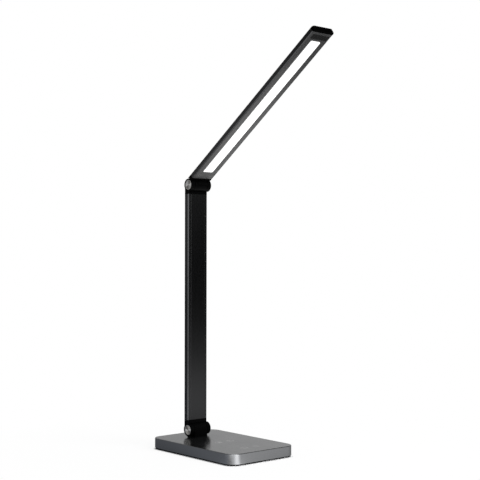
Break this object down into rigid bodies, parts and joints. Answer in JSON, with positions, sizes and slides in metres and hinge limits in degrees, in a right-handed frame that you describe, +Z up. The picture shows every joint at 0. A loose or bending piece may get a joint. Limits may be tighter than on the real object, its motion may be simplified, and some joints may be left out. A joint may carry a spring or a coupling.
{
  "type": "folding desk lamp",
  "caption": "Folding desk lamp: slab base, flat upright stem and long flat light head on friction hinges, with touch controls and a power inlet at the back.",
  "frame": {"origin": "middle of the base's underside, on the face that rests on the desk", "axes": "+Z up from the desk; the head reaches towards -Y; +X along both hinge axes, so that the power inlet is in the +Y wall"},
  "size_m": [0.118, 0.299, 0.5798],
  "materials": {
    "base_housing": "satin metallic grey",
    "black_plastic": "satin",
    "pad_rubber": "matte",
    "weight_steel": "matte",
    "black_metal": "satin",
    "screw_steel": "satin",
    "spring_steel": "polished",
    "bush_brass": "satin",
    "washer_plastic": "matte",
    "board_green": "satin",
    "touch_foam": "matte",
    "lead_black": "matte",
    "stem_grey": "satin",
    "panel_black": "gloss",
    "head_grey": "satin",
    "bezel_grey": "satin",
    "opal": "satin",
    "guide_clear": "gloss",
    "reflector_white": "matte",
    "strip_white": "satin",
    "chip_yellow": "satin",
    "cap_silver": "satin"
  },
  "bodies": {
    "base": {"base_bottom_cover": "black_plastic", "base_top_shell": "base_housing", "board_screws": "screw_steel", "control_board": "board_green", "counterweight": "weight_steel", "cover_screws": "screw_steel", "foot_lead": "lead_black", "foot_screws": "screw_steel", "hinge_foot": "black_metal", "inlet_lead": "lead_black", "lower_disc_springs": "spring_steel", "lower_friction_washers": "washer_plastic", "lower_hinge_bolt": "screw_steel", "lower_hinge_bush": "bush_brass", "lower_hinge_nut": "screw_steel", "power_inlet": "black_plastic", "rubber_pad": "pad_rubber", "touch_pads": "touch_foam"},
    "stem": {"stem_front_panel": "panel_black", "stem_lead": "lead_black", "stem_lower_fitting": "black_metal", "stem_profile": "stem_grey", "stem_screws": "black_metal", "stem_upper_fitting": "black_metal", "lower_hinge_caps": "cap_silver", "upper_hinge_caps": "cap_silver"},
    "head": {"diffuser": "opal", "head_bezel": "bezel_grey", "head_end_cap": "black_plastic", "head_fitting": "black_metal", "head_lead": "lead_black", "head_profile": "head_grey", "head_screws": "black_metal", "light_board": "strip_white", "light_chips": "chip_yellow", "light_guide": "guide_clear", "reflector": "reflector_white", "upper_hinge_bolt": "screw_steel", "upper_hinge_nut": "screw_steel", "upper_disc_springs": "spring_steel", "upper_friction_washers": "washer_plastic", "upper_hinge_bush": "bush_brass"}
  },
  "joints": [
    {"name": "lower_hinge", "type": "hinge", "parent": "base", "child": "stem", "pos_m": [0, 0.0566, 0.0267], "axis": [1, 0, 0], "range_deg": [-20, 90]},
    {"name": "upper_hinge", "type": "hinge", "parent": "stem", "child": "head", "pos_m": [0, 0.0566, 0.3867], "axis": [1, 0, 0], "range_deg": [-54, 125]}
  ]
}
